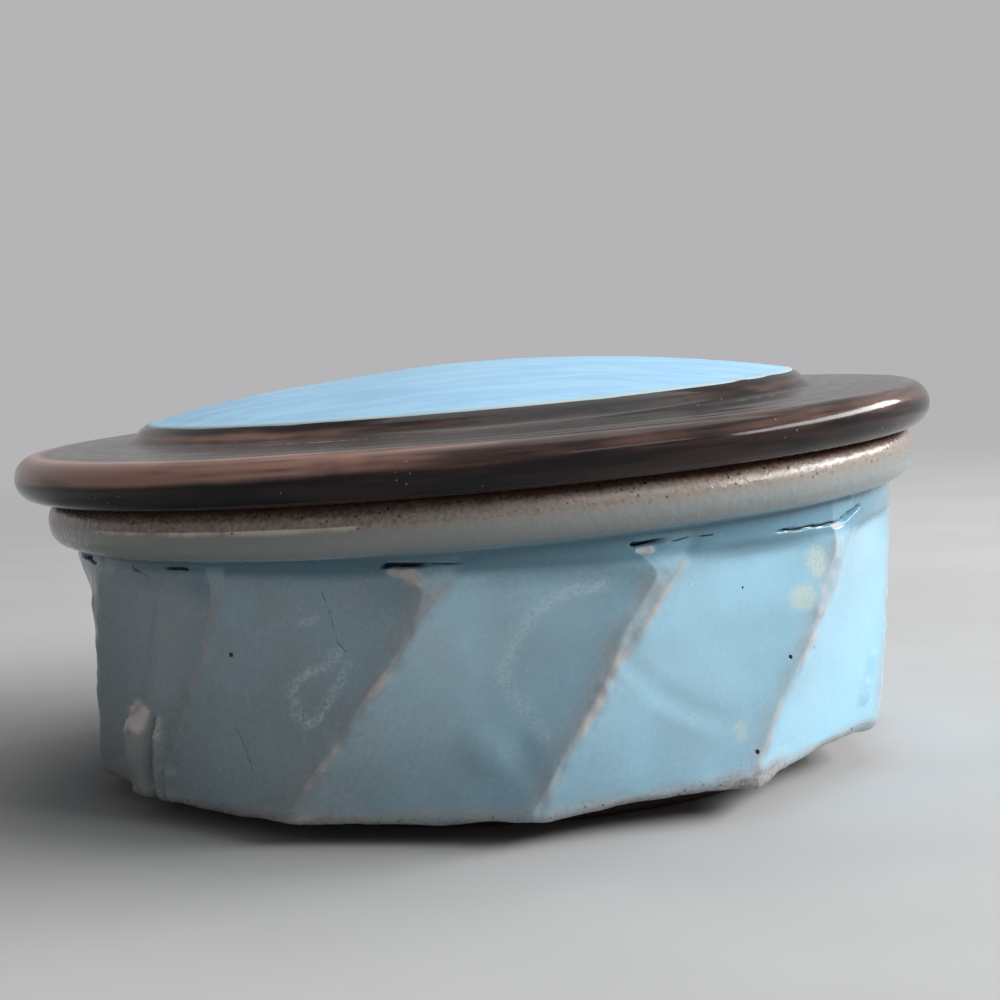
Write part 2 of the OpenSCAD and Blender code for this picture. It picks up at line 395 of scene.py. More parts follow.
def ridge_r(z):
    """Radius of the thrown wall at a height above the base, less the wear on its ridges."""
    return BASE_R + (SHOULDER_R - BASE_R) / WALL_H * z - RIDGE_CUT * np.maximum(0.0, 1.0 - z / WALL_H)


def right_turn(i, z):
    """Angle of the right edge of ridge i at a height above the base."""
    k = i % FACETS
    cut_z = np.minimum(z, FACET_H)
    even = i * FACET_STEP + 0.5 * FACET_STEP + RIDGE_SHIFT[k]
    waver = sum(width * np.sin(cut_z / length + lag * k) for width, length, lag in RIDGE_WAVER)
    return even + (FACET_TWIST + TWIST_SHIFT[k]) * (cut_z / WALL_H - 0.5) + waver


def land_turn(i, z):
    """Width of ridge i, in degrees: a worn edge that widens into an uncut land."""
    k = i % FACETS
    strip = STRIP_TURN[k] * ease(STRIP_START[k], STRIP_START[k] + STRIP_RISE, z)
    flare = FLARE_TURN[k] * ease(FACET_H - FLARE_DEPTH, FACET_H + 0.5, z) ** 1.5
    return math.degrees(RIDGE_W / BASE_R) + strip + flare


def facet_shares(index):
    """Shares across a facet, closest together at its two edges and, on the torn facet, at the tear."""
    share = np.linspace(0.0, 1.0, 401)
    crowd = 1.0 + EDGE_CROWD * (np.exp(-share / EDGE_SHARE) + np.exp((share - 1.0) / EDGE_SHARE))
    if index == TEAR_FACET:
        crowd = crowd + TEAR_CROWD * swell(share, TEAR_SHARE, TEAR_SPREAD)
    way = np.concatenate([[0.0], np.cumsum((crowd[1:] + crowd[:-1]) / 2.0)])
    return np.interp(np.arange(FACET_STEPS) / FACET_STEPS * way[-1], way, share)


def jar_columns():
    """For each column of the jar: its facet, whether it lies on a land, and its share of the way across."""
    land = np.arange(LAND_STEPS) / LAND_STEPS
    on_land = np.concatenate([np.ones(LAND_STEPS, bool), np.zeros(FACET_STEPS, bool)])
    share = np.concatenate([np.concatenate([land, facet_shares(index)]) for index in range(FACETS)])
    index = np.repeat(np.arange(FACETS), LAND_STEPS + FACET_STEPS)
    return index, np.tile(on_land, FACETS), share


FACET_OF, ON_LAND, SHARE = jar_columns()
ON_FACET = ~ON_LAND
RIGHT_HALF = SHARE > 0.5


def facet_ends(z):
    """Angles at which every column's facet starts and ends, at a height above the base."""
    return right_turn(FACET_OF, z), right_turn(FACET_OF + 1, z) - land_turn(FACET_OF + 1, z)


def column_turn(z):
    """Angle of every column at a height above the base."""
    start, end = facet_ends(z)
    left = start - land_turn(FACET_OF, z)
    return np.where(ON_LAND, left + SHARE * (start - left), start + SHARE * (end - start))


def nearest_ridge(z):
    """Number of the ridge nearest to every column, and the distance from it in millimetres."""
    start, end = facet_ends(z)
    width = over_wall(end - start)
    first = SHARE * width
    last = (1.0 - SHARE) * width
    own = ON_LAND | (first < last)
    ridge = np.where(own, FACET_OF, FACET_OF + 1) % FACETS
    return ridge, np.where(ON_LAND, 0.0, np.minimum(first, last))


def base_lift(turn, z):
    """How far the uneven base lifts or lowers the wall at an angle and a height above the base."""
    lean = BASE_RISE * np.cos(np.radians(turn - RISE_TURN)) * np.maximum(0.0, 1.0 - z / WALL_H)
    sag = swell(around(turn, FRONT_SAG_TURN), 0.0, FRONT_SAG_REACH) * (1.0 - ease(0.0, FRONT_SAG_H, z))
    return lean - FRONT_SAG * sag


def crease_height(turn):
    """Height above the base of the corner under the tilted collar."""
    return WALL_H + NECK_R * to_right(turn) * math.tan(RIM_TILT)


def tear_shape(turn, z):
    """How far the torn clay stands proud, and how much of its broken top shows, pale and with a painted
    highlight.
    """
    across = over_wall(around(turn, TEAR_TURN)) + 0.45 * np.sin(z / 2.3)
    proud = np.zeros_like(z)
    broken = np.zeros_like(z)
    start = 0.70 + 0.30 * ease(1.0, 9.0, z)
    for middle, half, top, high, shown in TEAR_LOBES:
        away = np.abs(across - middle)
        off = np.clip(away / half, 0.0, 1.0)
        crest = top - 0.55 * away
        chisel_z = crest - TEAR_CHISEL
        chisel = 1.0 - 0.75 * ease(chisel_z, crest - 0.6, z)
        height = np.sqrt(1.0 - off**4) * chisel * (1.0 - ease(crest - 0.7, crest, z))
        proud = np.maximum(proud, high * height * start)
        top_face = (1.0 - ease(0.65, 1.0, off)) * ease(chisel_z - 1.0, chisel_z + 1.2, z)
        broken = np.maximum(broken, shown * top_face * (1.0 - ease(crest - 0.4, crest + 0.3, z)))
    for middle, half, top, deep in TEAR_GROOVES:
        proud = proud - deep * swell(across, middle, half) * (1.0 - ease(top - 4.0, top, z))
    return proud, broken


def crack_shape(turn, z):
    """Depth of the cracks, and the painted shade in them, at every point."""
    depth = np.zeros_like(z)
    dark = np.zeros_like(z)
    for first, last, z_first, z_last, half, deep in CRACKS:
        along = around(turn, first) / (last - first)
        inside = ease(-0.05, 0.12, along) * (1.0 - ease(0.85, 1.05, along))
        waver = 0.12 * np.sin(turn * 1.3)
        off = z - (z_first + (z_last - z_first) * np.clip(along, 0.0, 1.0) + waver)
        narrow = half * (0.45 + 0.55 * inside)
        depth = np.maximum(depth, deep * inside * np.exp(-((off / narrow) ** 4)))
        # Painted shade down the crack
        dark = np.maximum(dark, inside * np.exp(-((off / (0.8 * narrow)) ** 4)))
    return depth, dark


def patches(spots, turn, z, ragged):
    """How strongly a list of ragged spots covers every point."""
    cover = np.zeros_like(z)
    for middle, height, half_turn, half_height in spots:
        reach = (around(turn, middle) / half_turn) ** 2 + ((z - height) / half_height) ** 2
        cover = np.maximum(cover, 1.0 - ease(0.35, 1.0, reach + ragged))
    return cover


def path_distance(path, turn, z):
    """Distance, over the wall, from a run of angles and heights to every point."""
    best = np.full_like(z, np.inf)
    for (turn_a, z_a), (turn_b, z_b) in zip(path, path[1:]):
        across = over_wall(around(turn, turn_a))
        run = over_wall(turn_b - turn_a)
        rise = z_b - z_a
        share = np.clip((across * run + (z - z_a) * rise) / (run * run + rise * rise), 0.0, 1.0)
        best = np.minimum(best, np.hypot(across - share * run, z - z_a - share * rise))
    return best


def blue_and_left_shade(turn):
    """How blue the celadon is round the jar: greyest and darkest at the left, partly as painted shade, and
    bluest at the right.
    """
    return 0.5 + 0.5 * np.cos(np.radians(turn - BLUE_TURN))


def skirt_climb(turn):
    """How near an angle is to the place where the worn glaze climbs highest, from 0 to 1."""
    return swell(around(turn, SKIRT_TURN), 0.0, SKIRT_REACH)


def cut_wall(turn, z):
    """Radius of the wall as cut, and how far its scoops, and every column, have turned into the neck."""
    start, end = facet_ends(z)
    half = np.radians(end - start) / 2.0
    off_middle = np.radians(turn) - np.radians(start) - half
    hollow = FACET_HOLLOW * HOLLOW_SHARE[FACET_OF] * 4.0 * SHARE * (1.0 - SHARE)
    facet = ridge_r(z) * np.cos(half) / np.cos(off_middle) - hollow
    cut = np.where(ON_LAND, ridge_r(z), facet)
    ridge, away = nearest_ridge(z)
    crisp = 1.0 - 0.6 * ease(1.0, 6.0, over_wall(land_turn(ridge, z)))
    cut = cut - RIDGE_SLOPE * crisp * (np.hypot(away, RIDGE_SOFT[ridge]) - away)
    facet_top = soft_min(FACET_H, crease_height(turn) - 0.4, 0.8)
    scoop = ease(facet_top - SCOOP_H * SCOOP_REACH[FACET_OF], facet_top, z)
    ledge = ease(facet_top - 8.0, facet_top + 1.0, z)
    neck = np.where(ON_LAND, ledge, scoop)
    return cut + (NECK_R - cut) * neck, scoop, neck


def thin_glaze(points, z, scoop, neck):
    """How thin the glaze lies along the ridges and on the lands, and how tan it is on and beside them, the
    tan on a ridge's left side partly painted shade.
    """
    ridge, away = nearest_ridge(z)
    patchy = np.clip(0.76 + rough(points, "line"), 0.12, 1.15)
    thin = RIDGE_PALE[ridge] * patchy * band(away, 0.0, 0.58 + 0.48 * RIDGE_SOFT[ridge])
    thin = thin * (1.0 - 0.55 * scoop) * (0.66 + 0.34 * ease(5.0, 28.0, z))
    land_w = over_wall(land_turn(ridge, z))
    left_pale = 1.0 - (1.0 - LEFT_PALE[ridge]) * ease(1.5, 3.0, land_w)
    land_left = left_pale * band(SHARE * land_w, 0.0, 1.1)
    land_right = 0.9 * band((1.0 - SHARE) * land_w, 0.0, 1.3)
    land = np.maximum(0.40, np.maximum(land_left, land_right))
    thin = thin * np.where(ON_LAND, land, np.where(RIGHT_HALF, left_pale, 1.0))
    thin = thin * (1.0 - 0.8 * ease(FACET_H - 0.6, FACET_H + 0.4, z))
    # Tan beside a ridge, strongest on its left side, is partly painted shade
    reach = np.where(RIGHT_HALF, FLANK_REACH, 0.6 * FLANK_REACH)
    flank_tan_and_shade = RIDGE_PALE[ridge] * band(away, 0.0, reach) * (1.0 - scoop)
    flank_tan_and_shade = flank_tan_and_shade * np.where(RIGHT_HALF, 1.0, 0.55)
    tan = np.where(ON_LAND, 0.9 * (1.0 - neck), flank_tan_and_shade) * (0.80 + rough(points, "tan"))
    return thin, tan


def pooled_glaze_and_shade(turn, z):
    """How deep the glaze pools, with painted shade: under the neck below the collar, along the right of a
    facet and up into its top right corner, and where the glaze ran down.
    """
    under = 0.85 * ease(FACET_H - 4.5, FACET_H - 0.5, z)
    under = under + 0.35 * ease(FACET_H - 11.0, FACET_H - 2.0, z) * ON_FACET
    side = 0.30 * ease(0.50, 1.0, SHARE) * ON_FACET
    corner = 0.60 * ease(0.40, 1.0, SHARE) * ease(FACET_H - 18.0, FACET_H - 4.0, z) * ON_FACET
    ran = 0.50 * swell(around(turn, RUN_TURN), 0.0, RUN_REACH)
    run_down = ran * (1.0 - ease(4.0, 30.0, z)) * ON_FACET
    return reduce(np.maximum, [np.minimum(under, 1.0), side, corner, run_down])


def wall_surface(z):
    """The outer wall at every column and a height above the base: radius, angle and marks of the glaze,
    painted shade among them.
    """
    turn = column_turn(z)
    r, scoop, neck = cut_wall(turn, z)
    points = polar(r, turn, z)
    tear, broken = tear_shape(turn, z)
    depth, dark = crack_shape(turn, z)
    ragged = rough(points, "ragged")
    torn = np.maximum(patches(TORN, turn, z, 0.7 * ragged), broken)
    lumpy = band(nearest_ridge(z)[1], 0.0, 1.4)
    r = r + tear - depth + rough(points, "wall") + lumpy * rough(points, "ridge")
    r = r + torn * (rough(points, "torn") - 0.25)
    for half_width, height, path in FOLDS:
        r = r + height * swell(path_distance(path, turn, z), 0.0, half_width)
    frost = np.zeros_like(z)
    for half_width, strength, path in FROST:
        frost = np.maximum(frost, strength * swell(path_distance(path, turn, z), 0.0, half_width))
    thin, tan = thin_glaze(points, z, scoop, neck)
    lump = ease(0.3, 1.6, tear)
    # The grooves of the tear darken: pooled glaze and painted shade
    groove = 0.9 * ease(0.1, 0.8, -tear)
    pool = np.maximum(pooled_glaze_and_shade(turn, z) * (1.0 - lump), groove)
    blue = blue_and_left_shade(turn)
    marks = {
        "thin": thin,
        "tan": np.maximum(lump, tan),
        # Pooled glaze and painted shade, deeper on the left
        "pool": pool * (1.0 - torn) * (1.05 - 0.40 * blue),
        "torn": torn,
        "fresh": broken * np.clip(0.85 + rough(points, "break"), 0.45, 1.0),
        "dark": dark,
        "frost": frost,
        "straw": patches(STRAW, turn, z, 0.4 * ragged),
        "blue": blue,
    }
    return r, turn, marks


WALL_MARKS = ("thin", "tan", "pool", "torn", "fresh", "dark", "frost", "straw", "blue")
JAR_MARKS = WALL_MARKS + ("collar", "brown", "cream", "bare", "inside")
LID_MARKS = ("panel", "cream", "line", "thin", "streak", "satin_and_sheen", "bare", "dust")


class Rows:
    """Rings of points, bottom to top of a profile, with the marks that the glaze reads at each point."""

    def __init__(self, columns, names):
        self.columns = columns
        self.points = []
        self.marks = {name: [] for name in names}

    def add(self, points, **marks):
        """Adds a ring. A mark that isn't given is 0 on it."""
        self.points.append(points)
        for name, values in self.marks.items():
            value = np.asarray(marks.get(name, 0.0), float)
            values.append(np.broadcast_to(value, (self.columns,)))


def add_underside(rows, low_turn):
    """Underside within the foot ring, the ring itself and the base around it."""
    inner = FOOT_R - FOOT_W
    inner_z = FOOT_H - FOOT_INNER_FILLET
    profile = [(r, FOOT_H) for r in UNDERSIDE_RINGS]
    profile += arc((inner - FOOT_INNER_FILLET, inner_z), FOOT_INNER_FILLET, 90.0, 0.0, 2)
    profile += arc((inner + FOOT_ROUND, FOOT_ROUND), FOOT_ROUND, 180.0, 270.0, 3)
    profile += arc((FOOT_R - FOOT_ROUND, FOOT_ROUND), FOOT_ROUND, -90.0, 0.0, 3)
    profile += arc((FOOT_R + FOOT_FILLET, FOOT_H - FOOT_FILLET), FOOT_FILLET, 180.0, 90.0, 2)
    lean = base_lift(low_turn, 0.0)
    for r, z in profile:
        on_ground = z < 0.3
        wear = 0.0 if on_ground else rough(polar(r, low_turn, z), "foot")
        lift = lean * r / BASE_R * ease(FOOT_H - 2.0, FOOT_H, z)
        rows.add(polar(r + wear, low_turn, np.maximum(z + lift + 0.4 * wear, 0.0)), bare=1.0)


def add_base_edge(rows, low_turn):
    """The flat under the wall, and its worn round edge."""
    wall, turn, marks = wall_surface(np.full_like(low_turn, BASE_ROUND))
    ring = polar(BASE_R, turn, 0.0)
    worn = BASE_ROUND * (1.0 + rough(ring, "edge round"))
    sag = rough(ring, "edge sag")
    for middle, drop, half_turn in BASE_LUMPS:
        sag = sag - drop * swell(around(turn, middle), 0.0, half_turn)
    inner = FOOT_R + 1.6
    lift = base_lift(turn, 0.0)
    for share in (0.0, 0.35, 0.75):
        r = inner + (wall - worn - inner) * share
        bare = 1.0 - ease(0.55, 0.9, share + rough(ring, "edge bare"))
        rows.add(polar(r, turn, FOOT_H + sag * share + lift * r / BASE_R), bare=bare, thin=1.0, brown=0.6)
    climb = skirt_climb(turn)
    marks["tan"] = np.maximum(marks["tan"], 1.0)
    marks["thin"] = np.maximum(marks["thin"], 0.42 + 0.30 * climb)
    iron = 0.45 + 0.25 * climb
    for angle in np.radians(np.linspace(0.0, 78.0, 7)):
        r = wall - worn + worn * math.sin(angle)
        z = FOOT_H + lift + sag * math.cos(angle) + worn * (1.0 - math.cos(angle))
        marks["brown"] = iron * (1.0 - 0.3 * math.sin(angle) ** 2)
        rows.add(polar(r, turn, z), **marks)


def add_wall(rows):
    """The faceted wall, from the worn edge to the corner under the collar."""
    top = crease_height(column_turn(np.full(len(SHARE), FACET_H))) - NECK_FILLET
    ledge = np.minimum(LEDGE_Z, top - 2.0)
    neck = np.minimum(NECK_Z, top - 0.15)
    stops = [BASE_ROUND * np.ones_like(top), ledge, neck, top]
    for low, high, steps in zip(stops, stops[1:], WALL_ROWS):
        for step in range(steps):
            z = low + (high - low) * step / steps
            r, turn, marks = wall_surface(z)
            ring = polar(BASE_R, turn, 0.0)
            climb = skirt_climb(turn)
            rise = SKIRT_RISE * climb * (1.0 + rough(ring, "skirt rise"))
            skirt_top = SKIRT_H + rough(ring, "skirt") + rise
            skirt = 1.0 - ease(0.25 * skirt_top, skirt_top, z)
            lumps = polar(BASE_R, turn, z)
            worn = rough(lumps, "worn") + climb * rough(lumps, "worn most")
            r = r + (1.0 - ease(1.0, 5.0, z)) * worn
            marks["tan"] = np.maximum(marks["tan"], 0.85 * skirt)
            marks["thin"] = np.maximum(marks["thin"], (0.36 + 0.34 * climb) * skirt)
            marks["brown"] = (0.20 + 0.30 * climb) * skirt
            rows.add(polar(r, turn, FOOT_H + z + base_lift(turn, z)), **marks)


def collar_profile(turn, wall, slow, uneven):
    """Rings (r, z, roll) of the collar in the frame of the rim, where roll is 1 on its glazed roll."""
    low = 0.35 * slow - COLLAR_H
    rim_r = wall - to_right(turn) * COLLAR_H * math.sin(RIM_TILT)
    middle = COLLAR_R - COLLAR_ROUND
    profile = []
    for angle in np.radians([18.0, 42.0, 66.0, 86.0]):
        r = rim_r + NECK_FILLET * (1.0 - math.cos(angle))
        profile.append((r, low - NECK_FILLET * (1.0 - math.sin(angle)), 0.0))
    for angle in np.radians(np.linspace(-72.0, 0.0, 15)):
        z = low + COLLAR_ROUND + COLLAR_ROUND * math.sin(angle)
        profile.append((middle + COLLAR_ROUND * math.cos(angle) + uneven, z, 1.0))
    for angle in np.radians(np.linspace(3.0, 90.0, 30)):
        r = middle + COLLAR_ROUND * math.cos(angle) + uneven * math.cos(angle)
        profile.append((r, COLLAR_ROUND * math.sin(angle) - COLLAR_ROUND - SEAT_CLEAR, 1.0))
    profile += [(r, -SEAT_CLEAR, 0.0) for r in SEAT_RINGS]
    for angle in np.radians([120.0, 150.0, 180.0]):
        r = MOUTH_R + MOUTH_ROUND + MOUTH_ROUND * math.cos(angle)
        profile.append((r, -MOUTH_ROUND * (1.0 - math.sin(angle)), 0.0))
    return profile


def add_collar(rows):
    """The fillet under the collar, its roll, the seat of the lid and the edge of the mouth."""
    high_turn = column_turn(np.full(len(SHARE), FACET_H))
    wall, turn, _ = wall_surface(crease_height(high_turn) - NECK_FILLET)
    ring = polar(COLLAR_R, turn, 0.0)
    slow = rough(ring, "collar slow")
    uneven = rough(ring, "collar") - 0.25
    left = 0.25 + 0.75 * ease(-0.25, 0.45, -to_right(turn))
    shade = 0.26 + 0.32 * left
    # A pale line round the roll's outermost edge, to the left: cream glaze and partly a painted edge
    # highlight
    broken = left * ease(-1.2, -0.3, rough(ring, "collar cream"))
    for r, z, roll in collar_profile(turn, wall, slow, uneven):
        flat = polar(r, turn, z)
        level = flat[..., 2]
        speck = rough(flat, "collar speck")
        high = level + 0.30 * slow + 0.10 * speck
        brown = shade * ease(-5.0, -4.3, high + 0.12 * speck)
        brown = brown + (1.0 - shade) * ease(-2.6, -0.4, high + 0.30 * speck)
        rows.add(
            rim_to_world(flat),
            collar=roll * ease(-11.0, -9.2, level),
            brown=roll * brown,
            cream=roll * broken * band(high, -COLLAR_ROUND, 0.20),
            thin=0.9 * roll * ease(-9.0, -2.0, high + 0.4 * speck),
            # Painted shade under the roll of the collar, with pooled glaze
            pool=(1.0 - ease(-11.2, -9.6, level)) * (1.0 - 0.6 * roll),
            blue=blue_and_left_shade(turn),
            bare=(1.0 - roll) * (level > -0.5),
        )


def add_inside(rows):
    """The mouth, the inner wall that narrows downwards, and the floor."""
    behind = math.cos(math.radians(FACET_STEP / 2.0))
    high_z = FOOT_H + FACET_H - SCOOP_H
    low_r = float(ridge_r(0.0)) * behind - FACET_HOLLOW - WALL_T
    high_r = min(MOUTH_R - MOUTH_STEP, float(ridge_r(FACET_H - SCOOP_H)) * behind - FACET_HOLLOW - WALL_T)
    flare = (high_r - low_r) / (high_z - FLOOR_Z)
    mouth_flare = (MOUTH_R - high_r) / SCOOP_H
    turn = column_turn(np.full(len(SHARE), FACET_H))
    right = to_right(turn)
    spiral = np.radians(turn)
    top = SEAT_Z + MOUTH_R * right * math.tan(RIM_TILT) - MOUTH_ROUND
    round_z = FLOOR_Z + CAVITY_ROUND
    steps = 12
    for step in range(1, steps + 1):
        z = top + (round_z - top) * step / steps
        bore = MOUTH_R + (SEAT_Z - z) * math.tan(RIM_TILT) * right
        cone = np.where(z < high_z, low_r + flare * (z - FLOOR_Z), high_r + mouth_flare * (z - high_z))
        r = soft_min(bore, cone, 0.6) + 0.10 * np.sin(2.0 * math.pi * z / 5.2 + spiral)
        rows.add(polar(r, turn, z), inside=1.0, pool=0.25)
    slant_r = low_r + flare * CAVITY_ROUND
    for angle in np.radians(np.linspace(15.0, 90.0, 6)):
        r = slant_r - CAVITY_ROUND * (1.0 - math.cos(angle))
        rows.add(polar(r, turn, round_z - CAVITY_ROUND * math.sin(angle)), inside=1.0, pool=0.5)
    for r in FLOOR_RINGS:
        z = FLOOR_Z + 0.18 * np.sin(2.0 * math.pi * r / 13.0 + spiral) * ease(2.0, 16.0, r)
        rows.add(polar(r, turn, z), inside=1.0, pool=0.6)


# Share of the bake map's height that the fan at each end of a mesh takes
FAN_SHARE = 0.02


def bake_map(rings):
    """Corners of every face on a flat map: the rings unrolled, with a fan at the low and the high end."""
    columns = rings.shape[1]
    runs = np.linalg.norm(np.diff(rings, axis=0), axis=-1).mean(axis=1)
    way = np.concatenate([[0.0], np.cumsum(runs) / runs.sum()])
    high = (FAN_SHARE + (1.0 - 2.0 * FAN_SHARE) * way)[:, None]
    left = np.arange(columns) / columns
    right = (np.arange(columns) + 1) / columns
    middle = (left + right) / 2.0
    corners = [(left, high[:-1]), (right, high[:-1]), (right, high[1:]), (left, high[1:])]
    quads = np.stack([np.stack(np.broadcast_arrays(*corner), axis=-1) for corner in corners], axis=-2)
    zero = np.zeros(columns)
    low_edge = zero + FAN_SHARE
    high_edge = zero + 1.0 - FAN_SHARE
    low_fan = np.stack([middle, zero, right, low_edge, left, low_edge], axis=-1)
    high_fan = np.stack([left, high_edge, right, high_edge, middle, zero + 1.0], axis=-1)
    return np.concatenate([quads.reshape(-1, 2), low_fan.reshape(-1, 2), high_fan.reshape(-1, 2)])


def put(name, data):
    """A new object in the scene."""
    made = bpy.data.objects.new(name, data)
    bpy.context.scene.collection.objects.link(made)
    return made


def build_mesh(name, rows, low_middle, high_middle):
    """One closed mesh through all rings, with a point in the middle of each end, and its bake map."""
    rings = np.array(rows.points)
    count, columns = rings.shape[:2]
    points = np.concatenate([rings.reshape(-1, 3), [low_middle, high_middle]]) * MM
    column = np.arange(columns)
    after = (column + 1) % columns
    ring = np.arange(count - 1)[:, None] * columns
    above = ring + columns
    quads = np.stack([ring + column, ring + after, above + after, above + column], axis=-1)
    top = (count - 1) * columns
    low_fan = np.stack([np.full(columns, count * columns), after, column], axis=-1)
    high_fan = np.stack([top + column, top + after, np.full(columns, count * columns + 1)], axis=-1)
    faces = quads.reshape(-1, 4).tolist() + low_fan.tolist() + high_fan.tolist()
    mesh = bpy.data.meshes.new(name)
    mesh.from_pydata(points.tolist(), [], faces)
    mesh.shade_smooth()
    for mark, values in rows.marks.items():
        flat = np.concatenate([np.array(values).reshape(-1), [values[0][0], values[-1][0]]])
        made = mesh.attributes.new(mark, "FLOAT", "POINT")
        made.data.foreach_set("value", flat.astype(np.float32))
    layer = mesh.uv_layers.new(name="OFBake")
    layer.data.foreach_set("uv", bake_map(rings).astype(np.float32).ravel())
    mesh.validate()
    return put(name, mesh)


def make_jar():
    """The jar in one piece."""
    rows = Rows(len(SHARE), JAR_MARKS)
    low_turn = column_turn(np.full(len(SHARE), BASE_ROUND))
    add_underside(rows, low_turn)
    add_base_edge(rows, low_turn)
    add_wall(rows)
    add_collar(rows)
    add_inside(rows)
    return build_mesh("glazed_jar", rows, (0.0, 0.0, FOOT_H), (0.0, 0.0, FLOOR_Z))


def lid_profile():
    """Half section of the lid above its seat, from the middle of its underside round to the top."""
    dome_r = (PANEL_R**2 + DOME_RISE**2) / (2.0 * DOME_RISE)
    centre_z = PANEL_Z + DOME_RISE - dome_r
    inner_r = dome_r - LID_T
    ring_in = RING_R - RING_W
    ring_round = RING_W / 2.0
    ring_z = ring_round - RING_DEPTH
    under_turn = math.degrees(math.asin(ring_in / inner_r))
    profile = arc((0.0, centre_z), inner_r, 88.8, 90.0 - under_turn, 14)
    profile += line((ring_in, profile[-1][1] - 1.5), (ring_in, ring_z), 5)
    profile += arc((ring_in + ring_round, ring_z), ring_round, 180.0, 360.0, 12)
    profile += line((RING_R, ring_z + 1.2), (RING_R, -RING_FILLET), 2)
    profile += arc((RING_R + RING_FILLET, -RING_FILLET), RING_FILLET, 180.0, 90.0, 3)
    profile += line((82.5, 0.0), (LID_R - BEAD_R, 0.0), 5)
    profile += arc((LID_R - BEAD_R, BEAD_R), BEAD_R, -90.0, 84.0, 30)
    edge = np.array([LID_R - BEAD_R, 2.0 * BEAD_R])
    corner = np.array([SHOULDER_FOOT_R, FLANGE_Z])
    panel = np.array([PANEL_R, PANEL_Z])
    along = (edge - corner) / np.linalg.norm(edge - corner)
    up = (panel - corner) / np.linalg.norm(panel - corner)
    half = math.acos(float(np.dot(up, along))) / 2.0
    run = SHOULDER_FILLET / math.tan(half)
    hollow = corner + (up + along) / np.linalg.norm(up + along) * SHOULDER_FILLET / math.sin(half)
    first = corner + run * along
    last = corner + run * up
    profile += line(edge - along * 0.6, first, 14)
    start = math.degrees(math.atan2(first[1] - hollow[1], first[0] - hollow[0]))
    end = math.degrees(math.atan2(last[1] - hollow[1], last[0] - hollow[0]))
    profile += arc(hollow, SHOULDER_FILLET, start, end, 8)
    profile += line(last + up * 0.3, panel - up * 0.5, 5)
    profile += [(PANEL_R - 0.1, PANEL_Z - 0.25), (PANEL_R - 0.45, PANEL_Z - 0.02)]
    top_turn = math.degrees(math.asin(PANEL_R / dome_r))
    border = np.linspace(top_turn - 0.12, top_turn - 1.0, 9)
    dome = np.linspace(top_turn - 1.4, 0.5, 24)
    angles = np.radians(np.concatenate([border, dome]))
    return profile + [(dome_r * math.sin(a), centre_z + dome_r * math.cos(a)) for a in angles]


# The lid sank and shrank a little in the kiln
LID_SINK = 0.16
LID_SHRINK = 0.16
# The dome is a little slack to the left of its middle: the middle of that dip, its half width and its depth
DIP_X = -28.0
DIP_HALF_W = 22.0
DIP_DEPTH = 0.35
# Throwing rings: from the middle of one to the next, and their height
RIPPLE_W = 6.3
RIPPLE_H = 0.035
# Noise is read on a circle of this radius to draw it out into streaks round the lid
STREAK_R = 14.0
STREAK_STRETCH = 2.5


def lid_marks(flat, r, z, turn, outside):
    """What the glaze of the lid does on a ring of its profile."""
    on_top = 1.0 if outside else 0.0
    border = r + rough(flat, "lid border")
    streak = 0.5 + rough(polar(STREAK_R, turn, STREAK_STRETCH * (z - r)), "lid streak")
    beading = float(ease(LID_R - 8.0, LID_R - 4.0, r)) * float(ease(4.2, 6.2, z))
    flange = on_top * float(ease(PANEL_R, SHOULDER_FOOT_R, r)) * float(ease(6.0, 8.6, z))
    shoulder = on_top * band(border, SHOULDER_FOOT_R - 1.6, 1.3)
    # More rust to the left of the bead and shoulder, partly a painted warm reflection
    left = 0.30 + 0.70 * ease(-0.2, 0.7, -to_right(turn))
    # Painted reflection on the flange, strongest to the left
    sheen_to_left = 0.34 + 0.66 * ease(-0.5, 0.8, -to_right(turn))
    swept = ease(-0.1, 0.6, rough(polar(RING_R, turn, 0.0), "lid dust"))
    return {
        "panel": on_top * (1.0 - ease(PANEL_R - 0.55, PANEL_R - 0.15, border)),
        "cream": on_top * band(border, PANEL_R - 0.75, 0.85),
        "line": on_top * band(border, PANEL_R + 0.30, 0.6),
        "thin": on_top * np.maximum(left * beading, 0.75 * left * shoulder),
        "streak": streak,
        "satin_and_sheen": flange * sheen_to_left * (0.6 + 0.6 * streak),
        "bare": 1.0 if not outside and r > RING_R - 0.5 else 0.0,
        "dust": on_top * swept * band(border, SHOULDER_FOOT_R + 1.2, 0.5),
    }


def make_lid():
    """The lid in one piece, in its own tilted frame until the end."""
    turn = np.arange(LID_COLUMNS) * 360.0 / LID_COLUMNS
    rows = Rows(LID_COLUMNS, LID_MARKS)
    profile = lid_profile()
    outside = False
    for r, z in profile:
        outside = outside or r > LID_R - BEAD_R + 1.0
        flat = polar(r, turn, z)
        outer = float(ease(LID_R - 9.0, LID_R, r))
        uneven = rough(flat, "lid")
        fine = rough(flat, "lid fine")
        ripple = math.sin(2.0 * math.pi * r / RIPPLE_W) * ease(6.0, 20.0, r) if outside else 0.0
        dip = DIP_DEPTH * swell(flat[..., 0], DIP_X, DIP_HALF_W)
        dip = dip * (1.0 - ease(PANEL_R - 14.0, PANEL_R, r))
        lift = 0.10 * uneven + 0.05 * fine + RIPPLE_H * ripple - LID_SINK - dip
        drawn_in = 0.12 * uneven + 0.04 * fine - LID_SHRINK
        free = 1.0 if outside and z > 0.6 else 0.0
        shaped = polar(r + outer * free * drawn_in, turn, z + free * (1.0 - 0.55 * outer) * lift)
        rows.add(rim_to_world(shaped, LID_SLIDE), **lid_marks(flat, r, z, turn, outside))
    low = rim_to_world(np.array([0.0, 0.0, PANEL_Z + DOME_RISE - LID_T]), LID_SLIDE)
    high = rim_to_world(np.array([0.0, 0.0, profile[-1][1] - 0.12]), LID_SLIDE)
    return build_mesh("glazed_lid", rows, low, high)


